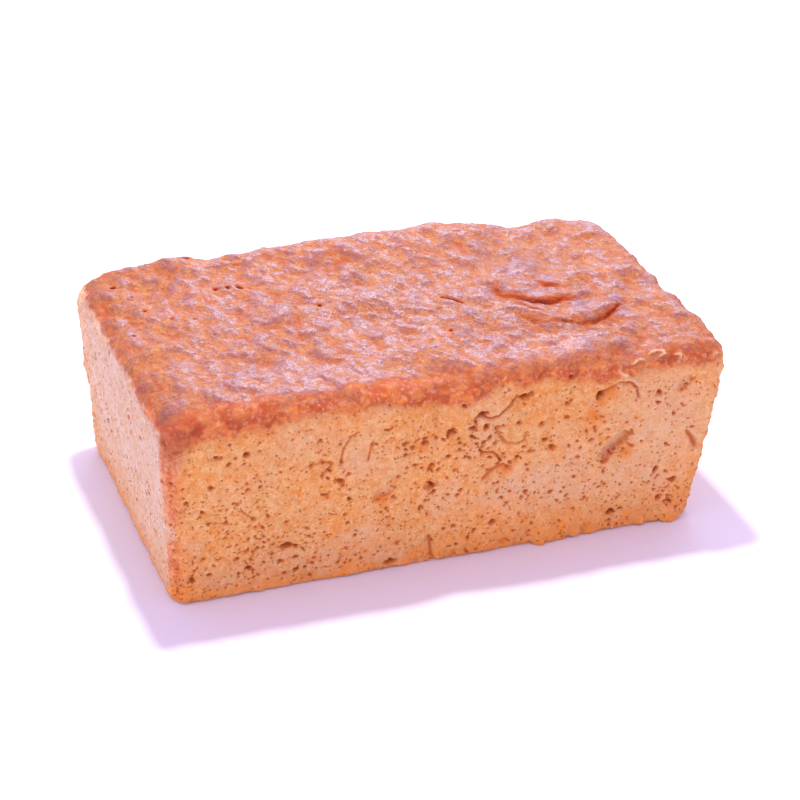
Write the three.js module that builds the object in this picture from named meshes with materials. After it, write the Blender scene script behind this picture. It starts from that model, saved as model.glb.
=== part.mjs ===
// A sourdough bread baked in a loaf tin, uncut, as one solid piece.
// Millimetres, +Z up. The long sides run along X, and the folded end of the
// crust lies at +X. The origin is the centre of the flat base.

import * as THREE from 'three';
import { ImprovedNoise } from 'three/addons/math/ImprovedNoise.js';
import { mergeVertices } from 'three/addons/utils/BufferGeometryUtils.js';

// Overall form: a tin's taper and rounded corners under an uneven crust
const LENGTH = 232;
const WIDTH = 137;
const DRAFT = 4.5;
const CORNER_RADIUS = 7;
const RIM_RADIUS = 7;
const BASE_RADIUS = 2;
const HALF_LENGTH = LENGTH / 2;
const HALF_WIDTH = WIDTH / 2;

// Height of the crust over each corner, before its swells and lumps
const BACK_LEFT_HEIGHT = 81;
const FRONT_LEFT_HEIGHT = 83.5;
const FRONT_RIGHT_HEIGHT = 84;
const BACK_RIGHT_HEIGHT = 76.5;
const HEIGHT = 80;

// Grid of the six faces: lines lie closer towards the folded end and the rim
const CELLS_LONG = 48;
const CELLS_WIDE = 26;
const CELLS_HIGH = 16;
const LEAN_TO_FOLDS = 0.12;
const LEAN_TO_RIM = 0.3;

// Broad swells (rise above 0) and hollows (below 0) of the crust
const SWELLS = [
  { name: 'back hump', x: 12, y: 62, reachX: 58, reachY: 26, rise: 6.5 },
  { name: 'back hump crest', x: 54, y: 66, reachX: 18, reachY: 16, rise: 2.4 },
  { name: 'back left corner', x: -100, y: 64, reachX: 12, reachY: 12, rise: 1.8 },
  { name: 'back left edge', x: -120, y: 70, reachX: 11, reachY: 16, rise: -8 },
  { name: 'back left saddle', x: -46, y: 68, reachX: 12, reachY: 14, rise: 1.8 },
  { name: 'right back rim', x: 118, y: 38, reachX: 12, reachY: 12, rise: 2 },
  { name: 'right front rim', x: 118, y: -28, reachX: 12, reachY: 14, rise: 1.2 },
  { name: 'front right corner', x: 118, y: -68, reachX: 10, reachY: 12, rise: -1.6 },
  { name: 'right rim', x: 116, y: 12, reachX: 26, reachY: 38, rise: 2 },
  { name: 'back left step', x: -76, y: 66, reachX: 12, reachY: 12, rise: 4.5 },
  { name: 'back right hump', x: 96, y: 62, reachX: 14, reachY: 18, rise: 1.2 },
  { name: 'back right hollow', x: 75, y: 68, reachX: 9, reachY: 14, rise: -1.5 },
  { name: 'middle', x: 0, y: 5, reachX: 80, reachY: 40, rise: 2.5 },
  { name: 'knob', x: 61, y: 17, reachX: 9, reachY: 7, rise: 2 },
  { name: 'left rim', x: -104, y: -52, reachX: 14, reachY: 16, rise: 1.5 },
  { name: 'front left shoulder', x: -45, y: -60, reachX: 34, reachY: 10, rise: 2 },
  { name: 'front sag', x: 0, y: -64, reachX: 17, reachY: 10, rise: -3 },
  { name: 'front right shoulder', x: 36, y: -62, reachX: 20, reachY: 12, rise: 2 },
  { name: 'torn front rim', x: 76, y: -64, reachX: 10, reachY: 8, rise: -4 },
];

// Folds: the crust steps up by `rise` on the inner side of an arc and sinks
// to its old level over `fade`, with a crease of depth `crease` outside it
const LONG_LIP = {
  x: 68, y: -14, radiusX: 25, radiusY: 20.5, from: 205, to: 330,
  rise: 2.4, fade: 12, crease: 1.4,
};
const MAIN_CRACK = {
  x: 70, y: 9, radiusX: 27, radiusY: 22.5, from: 192, to: 282,
  rise: 2.2, fade: 10, crease: 1.6,
};
const SMALL_LIP = {
  x: 75, y: 8, radiusX: 13, radiusY: 11, from: 190, to: 280,
  rise: 1.4, fade: 6, crease: 0.8,
};
const FOLDS = [LONG_LIP, MAIN_CRACK, SMALL_LIP];
const CREASE_WIDTH = 3.2;
const STEP_WIDTH = 2.4;
const FOLD_END_FADE = 18;

// Lumps all over the crust, and a fainter waviness of the sides
const CRUST_LUMPS = [
  { size: 30, rise: 1.8 },
  { size: 13, rise: 1.3 },
];
const SIDE_LUMPS = [
  { size: 34, rise: 1.0 },
  { size: 14, rise: 0.7 },
];

// Dents of the long front side: middle, half sizes, turn in degrees, depth
const FRONT_DENTS = [
  { name: 'large oblique dent', x: 71.5, z: 42.5, long: 10, wide: 6, turn: 38, depth: 2.6 },
  { name: 'upper right dent', x: 97.5, z: 66, long: 8, wide: 5, turn: 60, depth: 1.6 },
  { name: 'pit under the rim', x: 63, z: 65.5, long: 6, wide: 4.5, turn: 80, depth: 2.4 },
  { name: 'crack pit', x: 31, z: 72, long: 7, wide: 4.5, turn: 10, depth: 2.4 },
  { name: 'middle dent', x: -25, z: 37.5, long: 6, wide: 5, turn: 15, depth: 2 },
  { name: 'pore nest', x: 17, z: 46, long: 9, wide: 6, turn: -20, depth: 1.6 },
  { name: 'left dent', x: -51.5, z: 56.5, long: 6, wide: 5, turn: 0, depth: 1.8 },
  { name: 'low right pit', x: 73, z: 9, long: 5.5, wide: 5, turn: 0, depth: 2.4 },
  { name: 'low left pit', x: -66, z: 20, long: 5.5, wide: 4.5, turn: 0, depth: 1.8 },
  { name: 'crease below the rim', x: -6, z: 72, long: 9, wide: 5, turn: 85, depth: 1.6 },
];

// Where the sides bulge out past the tin's plane
const SIDE_SWELLS = [
  { name: 'back left overhang', x: -116, y: 64, z: 78, reach: 34, out: 2.4 },
  { name: 'front right bulge', x: 116, y: -68, z: 62, reach: 30, out: 1.4 },
  { name: 'front right foot', x: 116, y: -68, z: 3, reach: 12, out: -1.8 },
];

// The right end stands out a little above this height
const RIGHT_STEP = { height: 43, width: 3, out: 1.4 };

const CRUST_COLOUR = 0xd68a52;
const CRUST_ROUGHNESS = 0.55;

const noise = new ImprovedNoise();

function clamp(value, low, high) {
  return Math.min(Math.max(value, low), high);
}

function smoothStep(low, high, value) {
  const share = clamp((value - low) / (high - low), 0, 1);
  return share * share * (3 - 2 * share);
}

function lumps(scales, x, y, z) {
  let sum = 0;
  for (const { size, rise } of scales) {
    sum += rise * noise.noise(x / size, y / size, z / size);
  }
  return sum;
}

// A face grid with its lines drawn closer together at one end
function gridPoint(point) {
  const along = point.x / HALF_LENGTH;
  const up = point.z / HEIGHT + 0.5;
  const x = HALF_LENGTH * (along + LEAN_TO_FOLDS * (1 - along * along));
  const z = HEIGHT * up * (1 + LEAN_TO_RIM * (1 - up));
  return new THREE.Vector3(x, point.y, z);
}

// Every square ring of the plan becomes a ring with round corners
function roundPlanCorners(point) {
  const ring = Math.max(Math.abs(point.x) / HALF_LENGTH, Math.abs(point.y) / HALF_WIDTH);
  const radius = ring * CORNER_RADIUS;
  const innerX = ring * HALF_LENGTH - radius;
  const innerY = ring * HALF_WIDTH - radius;
  const middleX = clamp(point.x, -innerX, innerX);
  const middleY = clamp(point.y, -innerY, innerY);
  const middle = new THREE.Vector2(middleX, middleY);
  const offset = new THREE.Vector2(point.x, point.y).sub(middle);
  offset.setLength(radius);
  point.x = middle.x + offset.x;
  point.y = middle.y + offset.y;
}

// Direction out of the nearest side, and the distance in from it
function nearestSide(point) {
  const overX = Math.abs(point.x) - (HALF_LENGTH - CORNER_RADIUS);
  const overY = Math.abs(point.y) - (HALF_WIDTH - CORNER_RADIUS);
  const signX = Math.sign(point.x);
  const signY = Math.sign(point.y);
  if (overX > 0 && overY > 0) {
    const reach = Math.hypot(overX, overY);
    const out = new THREE.Vector2(signX * overX / reach, signY * overY / reach);
    return { out, inward: CORNER_RADIUS - reach };
  }
  if (overX > overY) {
    return { out: new THREE.Vector2(signX, 0), inward: CORNER_RADIUS - overX };
  }
  return { out: new THREE.Vector2(0, signY), inward: CORNER_RADIUS - overY };
}

// Rounds the edge between the sides and the crust, or the sides and the base
function roundEdge(point, radius, edgeHeight, upward) {
  const { out, inward } = nearestSide(point);
  const away = (edgeHeight - point.z) * upward;
  if (inward >= radius || away >= radius) {
    return;
  }
  const offset = new THREE.Vector2(inward - radius, away - radius).setLength(radius);
  const shift = inward - (radius + offset.x);
  point.x += out.x * shift;
  point.y += out.y * shift;
  point.z = edgeHeight - upward * (radius + offset.y);
}

function cornerHeight(x, y) {
  const right = (x / HALF_LENGTH + 1) / 2;
  const back = (y / HALF_WIDTH + 1) / 2;
  const front = THREE.MathUtils.lerp(FRONT_LEFT_HEIGHT, FRONT_RIGHT_HEIGHT, right);
  const rear = THREE.MathUtils.lerp(BACK_LEFT_HEIGHT, BACK_RIGHT_HEIGHT, right);
  return THREE.MathUtils.lerp(front, rear, back);
}

function swell({ x: middleX, y: middleY, reachX, reachY, rise }, x, y) {
  const u = (x - middleX) / reachX;
  const v = (y - middleY) / reachY;
  return rise * Math.exp(-u * u - v * v);
}

function fold(arc, x, y) {
  const u = (x - arc.x) / arc.radiusX;
  const v = (y - arc.y) / arc.radiusY;
  const angle = (THREE.MathUtils.radToDeg(Math.atan2(v, u)) + 360) % 360;
  const inEnds = smoothStep(arc.from - FOLD_END_FADE, arc.from, angle)
    * smoothStep(arc.to + FOLD_END_FADE, arc.to, angle);
  const inside = (1 - Math.hypot(u, v)) * (arc.radiusX + arc.radiusY) / 2;
  const lip = arc.rise * smoothStep(-STEP_WIDTH / 2, STEP_WIDTH / 2, inside)
    * Math.exp(-Math.max(inside, 0) / arc.fade);
  const groove = (inside + STEP_WIDTH) / CREASE_WIDTH;
  return inEnds * (lip - arc.crease * Math.exp(-groove * groove));
}

function crustHeight(x, y) {
  let height = cornerHeight(x, y) + lumps(CRUST_LUMPS, x, y, 0);
  for (const mound of SWELLS) {
    height += swell(mound, x, y);
  }
  for (const arc of FOLDS) {
    height += fold(arc, x, y);
  }
  return height;
}

function dentDepth(dent, x, z) {
  const turn = THREE.MathUtils.degToRad(dent.turn);
  const along = ((x - dent.x) * Math.cos(turn) + (z - dent.z) * Math.sin(turn)) / dent.long;
  const across = ((z - dent.z) * Math.cos(turn) - (x - dent.x) * Math.sin(turn)) / dent.wide;
  const share = clamp(1 - along * along - across * across, 0, 1);
  return dent.depth * share;
}

// How far a side stands out (above 0) or is dented (below 0)
function sideRelief(out, x, y, z) {
  let relief = lumps(SIDE_LUMPS, x, y, z);
  if (out.y < 0) {
    for (const dent of FRONT_DENTS) {
      relief += out.y * dentDepth(dent, x, z);
    }
  }
  if (out.x > 0) {
    const { height, width, out: step } = RIGHT_STEP;
    relief += out.x * step * smoothStep(height - width, height + width, z);
  }
  for (const { x: middleX, y: middleY, z: middleZ, reach, out: bulge } of SIDE_SWELLS) {
    const away = Math.hypot(x - middleX, y - middleY, z - middleZ) / reach;
    relief += bulge * Math.exp(-away * away);
  }
  return relief;
}

function leanSides(point) {
  const below = 1 - point.z / HEIGHT;
  point.x *= 1 - DRAFT / HALF_LENGTH * below;
  point.y *= 1 - DRAFT / HALF_WIDTH * below;
}

// One point of the plain box to its place on the loaf
function loafPoint(boxPoint) {
  const point = gridPoint(boxPoint);
  roundPlanCorners(point);
  const { out, inward } = nearestSide(point);
  roundEdge(point, RIM_RADIUS, HEIGHT, 1);
  roundEdge(point, BASE_RADIUS, 0, -1);
  leanSides(point);
  const onBase = point.z <= 0;
  point.z *= crustHeight(point.x, point.y) / HEIGHT;
  if (!onBase && inward < RIM_RADIUS) {
    const share = 1 - inward / RIM_RADIUS;
    const relief = share * sideRelief(out, point.x, point.y, point.z);
    point.x += out.x * relief;
    point.y += out.y * relief;
  }
  return point;
}

function loafGeometry() {
  const box = new THREE.BoxGeometry(LENGTH, WIDTH, HEIGHT, CELLS_LONG, CELLS_WIDE, CELLS_HIGH);
  box.deleteAttribute('normal');
  box.deleteAttribute('uv');
  const geometry = mergeVertices(box);
  const points = geometry.attributes.position;
  for (let i = 0; i < points.count; i++) {
    const point = loafPoint(new THREE.Vector3().fromBufferAttribute(points, i));
    points.setXYZ(i, point.x, point.y, point.z);
  }
  return geometry;
}

// Puts the middle of the base at the origin
function centreOnBase(geometry) {
  geometry.computeBoundingBox();
  const { min, max } = geometry.boundingBox;
  geometry.translate(-(min.x + max.x) / 2, -(min.y + max.y) / 2, -min.z);
  return geometry;
}

function loafMesh() {
  const material = new THREE.MeshStandardMaterial({
    color: CRUST_COLOUR,
    roughness: CRUST_ROUGHNESS,
    metalness: 0,
  });
  const geometry = centreOnBase(loafGeometry());
  geometry.computeVertexNormals();
  const mesh = new THREE.Mesh(geometry, material);
  mesh.name = 'loaf';
  return mesh;
}

const bread = new THREE.Group();
bread.add(loafMesh());

export default bread;
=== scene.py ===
"""A sourdough bread baked in a loaf tin: a glossy wrinkled crust with folds over
matte porous sides, worked out as one fine surface over the plain solid."""

import math

import bpy
import numpy as np
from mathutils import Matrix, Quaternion, Vector
from mathutils.bvhtree import BVHTree
from mathutils.kdtree import KDTree


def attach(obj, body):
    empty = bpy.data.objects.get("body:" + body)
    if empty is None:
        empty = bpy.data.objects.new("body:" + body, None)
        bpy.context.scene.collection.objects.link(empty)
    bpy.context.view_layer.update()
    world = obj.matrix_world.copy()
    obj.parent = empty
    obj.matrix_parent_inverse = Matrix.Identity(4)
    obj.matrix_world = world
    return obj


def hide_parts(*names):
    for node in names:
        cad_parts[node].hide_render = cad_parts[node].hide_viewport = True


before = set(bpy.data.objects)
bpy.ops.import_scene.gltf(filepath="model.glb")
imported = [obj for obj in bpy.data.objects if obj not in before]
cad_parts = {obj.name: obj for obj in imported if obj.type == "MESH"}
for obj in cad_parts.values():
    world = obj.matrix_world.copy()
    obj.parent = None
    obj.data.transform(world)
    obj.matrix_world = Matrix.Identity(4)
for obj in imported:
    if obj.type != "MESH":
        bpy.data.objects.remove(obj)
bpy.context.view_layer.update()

# Lengths are in millimetres here, and become metres where a mesh is written
MM = 0.001

# The tin's form, as in the solid
LENGTH = 232
WIDTH = 137
HEIGHT = 80
DRAFT = 4.5
CORNER_RADIUS = 7
RIM_RADIUS = 7
BASE_RADIUS = 2
HALF_PLAN = np.array([LENGTH, WIDTH]) / 2

# The fine surface
CELL = 0.55
MOST_TRIANGLES = 190_000
SOLID_REACH = 25
SOLID_SMOOTHING = 2.2
# The smallest length that a vector is divided by
TINY = 1e-9
# The smallest share of a fold that keeps a point from being thinned out
KEPT_FOLD = 0.05

# Where the chart of each side of the box starts on the map
CHART_STARTS = {
    0: (0.01, 0.62), 3: (0.26, 0.62),
    1: (0.01, 0.01), 4: (0.51, 0.01),
    2: (0.01, 0.3), 5: (0.51, 0.3),
}
CHART_SCALE = 1.3

# The folds of the crust: each lip lies at the left of its path of points (x, y), and the
# crease is deepest at one place. Each crease is coloured darker by its dark share: partly the
# crust's red brown, and partly painted shade
FOLDS = {
    "main crack": {
        "path": [
            (42.5, 4), (44.5, -2), (48.5, -5.5), (52, -9),
            (57, -13), (62, -14), (67, -13.3), (76, -13.5),
        ],
        "deepest": (58, -13), "reach": 9, "wide": 1.1, "cut": 2.2, "lip": 0.5, "dark": 1,
    },
    "small lip": {
        "path": [(62.5, 7), (63.8, 3.5), (66, 0), (69, -2.3), (73, -3)],
        "deepest": (68, -1.5), "reach": 5, "wide": 0.6, "cut": 1, "lip": 0.6, "dark": 0.75,
    },
    "long lip": {
        "path": [
            (44, -21), (46.5, -26), (50, -30), (56, -33.7), (66, -35.2),
            (73, -35), (80.5, -31), (87, -27), (91, -23),
        ],
        "deepest": (84, -29), "reach": 16, "wide": 0.6, "cut": 1.1, "lip": 0.5, "dark": 0.7,
    },
    "slit below the main crack": {
        "path": [(47, -10.5), (49.5, -17), (53, -22.5), (58, -24)],
        "deepest": (53, -22), "reach": 6, "wide": 0.5, "cut": 1, "lip": 0.3, "dark": 0.7,
    },
}
FOLD_LIP_WIDTH = 5
FOLD_END_FADE = 5

# Where the skin is smoothest and shines, and its colour takes a violet painted reflection: x, y,
# radius
GLOSSY_SPOTS = [
    (59.5, 14.4, 5.5),
    (69.6, 6, 4),
    (47.9, -0.5, 3.5),
    (59, -6.5, 4.5),
    (75, -20.6, 5),
    (89, -20, 3),
    (87, -31, 3),
]

# The crust's edge along the front: x, how far behind the rim its sheen ends, and how far below
# the rim the bare side begins
FRONT_EDGE = [
    (-116, 9.5, 6.6), (-106, 9.4, 5.3),
    (-92, 8, 3.8), (-76, 8.3, 3),
    (-61, 5.6, -0.5), (-45, 4.7, -0.2),
    (-28, 9.5, 1.1), (-11, 10.5, 3.8),
    (6, 11, 5.9), (20, 7, 0),
    (38, 9.5, 0.2), (63, 8, 4.7),
    (82, 9, 2.8), (99, 8.5, 2.3),
    (116, 8, 3),
]
# The same on the other sides
PLAIN_EDGE = (2, 1.5)

# Where the crust shines more or less than elsewhere: x, y, reach, share
SHEEN_ZONES = [
    (-106, 45, 20, -0.6), (-108, 0, 20, -0.5),
    (-106, -40, 14, -0.4), (-70, -48, 15, 0.6),
    (-42, -52, 12, 0.6), (6, 10, 28, 0.1),
    (-14, -22, 20, 0.1), (64, 26, 24, -0.4),
    (97, 29, 24, -0.4), (8, 27, 15, -0.25),
    (100, -45, 18, -0.5), (102, -15, 14, -0.1),
    (13.7, -23, 5, -0.6), (-6.7, -46.8, 6, -0.5),
    (26, -46, 10, 0.4), (58, -50, 12, 0.4),
]

# Where the skin is so finely wrinkled that it glitters, from its fine bumps and from painted glints
# in its colour: x, y, reach
GLITTER_ZONES = [
    (0, 8, 26),
    (28, -18, 18),
    (-34, 4, 14),
]

# Where the crust is baked to a dusky brown: x, y, reach, share
DUSKY_ZONES = [
    (56, 30, 14, 0.5), (70, 2, 8, 0.45),
    (88, -22, 5.5, 1.2), (72, 25, 14, 0.55),
    (10, 26, 14, 0.2), (-2, -14, 12, 0.2),
    (-84, -44, 16, 0.2), (58, -9, 6, 0.5),
    (-113, -66, 11, 0.6), (-117, 50, 12, 0.8),
    (-117, 20, 10, 0.4), (-117, -36, 9, 0.5),
    (20, -6, 16, 0.2), (-52, -30, 16, 0.25),
]
# Where the skin is almost smooth: x, y, reach
SMOOTH_ZONES = [
    (-62, -52, 22),
    (-30, -56, 14),
    (62, 26, 16),
    (88, 34, 22),
    (25, 45, 22),
]

# Where the crust is lower than the solid's, at two corners: x, y, reach, drop
CORNER_DROPS = [
    (112, 64, 9, 1.4),
    (114, -60, 8, 1.2),
]

# Where the foot of the front stands out or in: x, reach, out
FOOT_SWELLS = [
    (-59, 6, -0.9),
    (-8.5, 5, -1.3),
    (27, 5, -1.3),
    (42.5, 5, 2.4),
    (53, 4, 1.4),
    (99, 6, 2.4),
]

# Pinholes of the crust: x, y, radius
PINHOLES = [
    (-104.7, 50.3, 1.5), (-99.6, 39, 0.9),
    (-97.7, 25.6, 0.9), (-89.3, 15.3, 0.9),
    (-80.6, 12.3, 0.8), (-107.2, 6.2, 1),
    (-110.8, 24.4, 0.8), (-65.4, 35, 1.4),
    (-60.6, 33.9, 1.2), (-55.5, 33.9, 1.6),
    (-29.7, 7.4, 1.1), (13.2, -28.6, 1.1),
    (-70.3, 62.7, 2),
]
# A thin tear of the crust, beside the folds: x, y
CRUST_TEAR = [(20.5, 0.5), (23.3, -3.4), (26.5, -6.5)]

# Pits of the long front side: x, z, half width, half height, depth
FRONT_PITS = [
    (-0.5, 62, 2.3, 1.6, 2.2), (-1.2, 50.7, 1.3, 0.9, 1.4),
    (5.6, 49.5, 1, 1, 1), (-7.9, 47.5, 1.2, 1.2, 1.2),
    (-5.7, 45.2, 1, 0.9, 1.2), (8.2, 58, 1.2, 0.9, 1.4),
    (10.4, 54.5, 0.9, 0.9, 1.3), (13, 54.4, 1.1, 0.9, 1.3),
    (15.8, 56.2, 1.5, 1.3, 1.4), (3.6, 55.7, 1, 0.8, 1.2),
    (8.4, 61.6, 2.6, 1.4, 1.7), (14.2, 61.5, 1.5, 1.5, 1.5),
    (28.7, 44.4, 1.4, 0.9, 1.6), (39.7, 50.9, 1.7, 0.9, 2.2),
    (-11.5, 58.8, 1.9, 1.1, 1.6), (12.1, 67.4, 2.3, 1.2, 1.8),
    (29.6, 72.2, 3, 1.4, 2.8), (62.4, 67.3, 1.6, 2.2, 3.2),
    (49, 78.3, 1.7, 1.3, 2.2), (4.2, 72.5, 1.4, 1.1, 1.4),
    (72.8, 8.9, 2.3, 2, 2.4), (99.2, 20.7, 2, 2, 1.2),
    (90.3, 27.2, 1.5, 1.8, 1.6), (87.8, 65, 1.4, 1.3, 1.2),
    (88, 60.5, 1.4, 0.9, 1.8), (97, 10.9, 1.6, 1.6, 1.6),
    (59.5, 47.6, 1.5, 1, 1.6), (-22.7, 3.6, 2.6, 2, 3),
    (-83.5, 66.1, 1.6, 1.3, 1.8), (-95.4, 67.2, 1.3, 1, 1),
    (-90.7, 63.2, 1.2, 1, 1), (-77.9, 50.8, 1, 1, 1),
    (-45.6, 47.2, 2, 1.2, 1.4), (-51.4, 41.7, 2, 0.7, 1.2),
    (-66.4, 19.7, 3.6, 1.4, 1.8), (-62.1, 7.8, 1.6, 1.2, 1.6),
    (-80.9, 12.6, 1.6, 1.3, 1.6), (-97, 12.6, 1.5, 1, 1.4),
    (-103.7, 11.4, 1.2, 1.1, 1.4), (-66.9, 7.2, 1.4, 1, 1.4),
    (-68.3, 13.2, 1.8, 0.9, 1.3), (-62.5, 13.9, 1.5, 0.8, 1.2),
    (-106.4, 48.5, 1, 1, 1),
]
# Cracks of the long front side: half width, depth, how dark the painted shade along it is, and points
# (x, z)
FRONT_CRACKS = {
    "crack under the rim": (0.5, 1.6, 0.85, [
        (9, 66), (12, 66.6), (15.6, 65.1), (19.3, 65.4), (24.2, 69.8), (25.5, 72), (33, 73),
    ]),
    "crack at the torn rim": (0.6, 1.6, 0.6, [
        (62.4, 67.3), (66.3, 70.5), (70, 72.4), (75, 71.5), (78, 68.5), (79, 64),
    ]),
    "curl of the pore nest": (0.5, 1.5, 0.85, [
        (12, 50.6), (14, 49), (17.7, 48.9), (20, 46.4), (21.5, 43.6),
    ]),
    "ridge below the curl": (0.9, 1.3, 0.6, [
        (14.5, 37), (16.5, 38.6), (19.4, 40.8), (22.8, 41.6), (25.5, 40.5),
    ]),
    "ring right of the nest": (0.7, 1, 0.5, [
        (18.5, 60), (19.9, 57), (22.1, 53), (26.9, 50.8), (30.9, 52.6), (31.6, 56),
    ]),
    "notch at the right": (1, 2, 0.6, [(102.5, 44), (105, 40), (107, 36.5)]),
    "split of the base edge": (0.7, 1.8, 0.4, [(-6.8, 13), (-5.8, 7), (-4.2, 0)]),
    "crease below the rim": (1.3, 1, 0.15, [(-6.8, 79), (-6.8, 72), (-6.9, 62), (-7, 57)]),
    "left arc of the oval patch": (0.55, 0.9, 0.6, [
        (-38.5, 68), (-41.4, 66.5), (-44, 62.4), (-45.5, 56),
    ]),
    "right arc of the oval patch": (0.55, 0.9, 0.6, [(-32.8, 63), (-33.3, 59.4), (-34.3, 54.5)]),
    "hook at the left": (0.7, 1.1, 0.65, [(-53.5, 57.5), (-48.8, 55.4), (-50.5, 52.8), (-52.9, 50)]),
    "scratch at the lower left": (0.45, 0.8, 0.6, [(-85.1, 41.2), (-83.5, 39), (-80.7, 36.6)]),
    "level scratch at the lower left": (0.45, 0.7, 0.45, [(-99.5, 37.7), (-95, 36.5), (-88, 34.9)]),
}
# Shallow patches: x, z, half sizes, turn in degrees, depth, how dark the outline is, and how
# grey the inside
FRONT_DENTS = [
    (70.3, 41.8, 9.2, 3.4, 43, 2.8, 0.6, 0.8),
    (98.4, 67.5, 5, 2.2, 62, 1.4, 0.5, 0.9),
    (-27, 37.5, 5, 2.6, 14, 1.4, 0.4, 0.6),
    (-22.4, 45, 2.4, 1.8, 30, 0.9, 0.3, 0.6),
    (-7.2, 38.3, 3.4, 1.9, 12, 1.7, 0.5, 0.3),
    (-39, 61, 7.5, 4.4, 68, 0.3, 0, 0.3),
    (52.6, 38, 2.6, 2.2, 0, 0.9, 0.3, 0.6),
]
# Paler zones of the front: x, z, half width, half height, share
PALE_ZONES = [
    (48, 34, 24, 14, 0.35), (90, 60, 24, 20, 0.6),
    (88, 30, 20, 22, 0.45), (22, 28, 18, 12, 0.3),
    (-70, 10, 40, 12, 0.35), (36, 30, 14, 8, 0.5),
    (60, 22, 12, 6, 0.4), (-36, 20, 7, 4, 0.8),
    (-60, 68, 16, 8, 0.4), (-30, 52, 14, 10, 0.3),
]
# Orange stains of the front: x, z, radius
FRONT_STAINS = [
    (66.5, 68, 3.2),
    (63.5, 64, 2.4),
    (60, 58, 3.6),
    (76, 38.5, 3),
    (-13, 56.5, 2.4),
    (24, 38.5, 2.2),
    (-27, 34, 3),
]
# Thin curls of pale dough at the torn rim: points (x, height), where the height goes on over
# the rim and along the top
PALE_CURLS = [
    [(69.5, 77), (72, 75.1), (75, 73.5), (77.5, 71), (79, 67)],
    [(83.3, 84.6), (86.3, 85.8), (88.8, 84.8), (89.2, 83.2), (86.9, 82)],
    [(93.3, 81.9), (95.4, 81.3), (94.7, 79.4), (97.3, 78.7)],
    [(76, 80.5), (78, 82.4), (80.4, 82)],
]
PALE_CURL_WIDTH = 0.6
PALE_CURL_RISE = 0.8

# Pale flakes at the torn front rim: x, y, z, radius
PALE_FLAKES = [
    (101.4, -69.3, 78.4, 1),
    (110.7, -69.1, 79.1, 1.1),
    (106, -69.2, 79.4, 0.9),
    (72.5, -68.8, 74.6, 1.1),
    (75, -68.6, 72.6, 1),
    (77.5, -68.5, 71, 0.9),
]

# Pores of the baked sides
PORE_COUNT = 4200
PORE_RADIUS = 0.6
PORE_SPREAD = 0.4
LARGEST_PORE = 1.6
# How much longer along x and y than tall the pores are
PORE_STRETCH = (1.15, 1.15)
# Nests of pores on the front: x, z, half size, count, radius
PORE_NESTS = [
    (10, 57, 9, 16, 0.7),
    (48, 46, 12, 5, 0.7),
    (-6, 57, 8, 8, 0.7),
    (-68, 12, 16, 22, 0.75),
    (96, 15, 8, 5, 0.8),
]

# Blisters of the crust, large and small: count, radius, spread, and rise for each radius
BLISTERS = [
    (850, 3, 0.4, 0.2),
    (3600, 1.3, 0.35, 0.23),
]
# How much longer along y than along x the blisters and wrinkles are
WRINKLE_STRETCH = 1.3
# How far around a point its surroundings count, and the rise that makes a full bump
LEVEL_REACH = 2.4
LEVEL_RANGE = 0.9

# Soft random waves: size, height, seed
SHEEN_EDGE_WAVES = [(9, 1.4, 11), (4, 0.9, 12)]
SIDE_EDGE_WAVES = [(11, 0.9, 13), (4, 0.7, 14)]
BASE_LINE_WAVES = [(13, 2.2, 21), (4, 1.2, 22)]
CRUST_LUMPS = [(15, 0.35, 44), (7.5, 0.13, 45)]
FINE_SIDE_GRAIN = [(3.4, 0.18, 52), (1.6, 0.12, 53)]
FOOT_CRAGS = [(6, 0.55, 54), (2.6, 0.3, 55)]
SEED = 4674


def smooth_step(low, high, value):
    """0 below low and 1 above high, with a soft change between."""
    share = np.clip((value - low) / (high - low), 0, 1)
    return share * share * (3 - 2 * share)


def bell(value, width):
    """1 at 0, and falling off over the width on both sides."""
    return np.exp(-((value / width) ** 2))


def lengths(vectors):
    """The length of each vector, as a column."""
    return np.maximum(np.linalg.norm(vectors, axis=1, keepdims=True), TINY)


def waves(points, size, seed, count=28):
    """A soft random field over the points: bumps of about this size, mostly from -1 to 1."""
    rng = np.random.default_rng(seed)
    ways = rng.normal(size=(count, 3))
    ways /= lengths(ways)
    steps = 2 * math.pi / (size * rng.uniform(0.75, 1.45, count))
    starts = rng.uniform(0, 2 * math.pi, count)
    field = np.zeros(len(points))
    for way, step, start in zip(ways, steps, starts):
        field += np.cos(points @ (way * step) + start)
    return field * math.sqrt(1 / count)


def box_lattice(size, cell):
    """Points from 0 to 1 on a box's six faces, shared at the edges, and the quads between them."""
    counts = np.round(np.array(size) / cell).astype(int)
    quads = []
    for axis in range(3):
        across, along = (axis + 1) % 3, (axis + 2) % 3
        u, v = np.indices((counts[across], counts[along])).reshape(2, -1)
        for level in (0, counts[axis]):
            quad = np.empty((len(u), 4, 3), int)
            quad[:, :, axis] = level
            quad[:, :, across] = u[:, None] + [0, 1, 1, 0]
            quad[:, :, along] = v[:, None] + [0, 0, 1, 1]
            quads.append(quad if level else quad[:, ::-1])
    quads = np.concatenate(quads)
    span = counts.max() + 1
    keys = quads @ [1, span, span * span]
    _, first, where = np.unique(keys, return_index=True, return_inverse=True)
    return quads.reshape(-1, 3)[first] / counts, where.reshape(-1, 4)


def rounded(inward, away, radius):
    """Bends the square edge between two faces into an arc: distances in from each face."""
    near = (inward < radius) & (away < radius)
    offset = np.stack([inward - radius, away - radius], 1)
    offset *= radius / lengths(offset)
    inward = np.where(near, radius + offset[:, 0], inward)
    return inward, np.where(near, radius + offset[:, 1], away)


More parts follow.
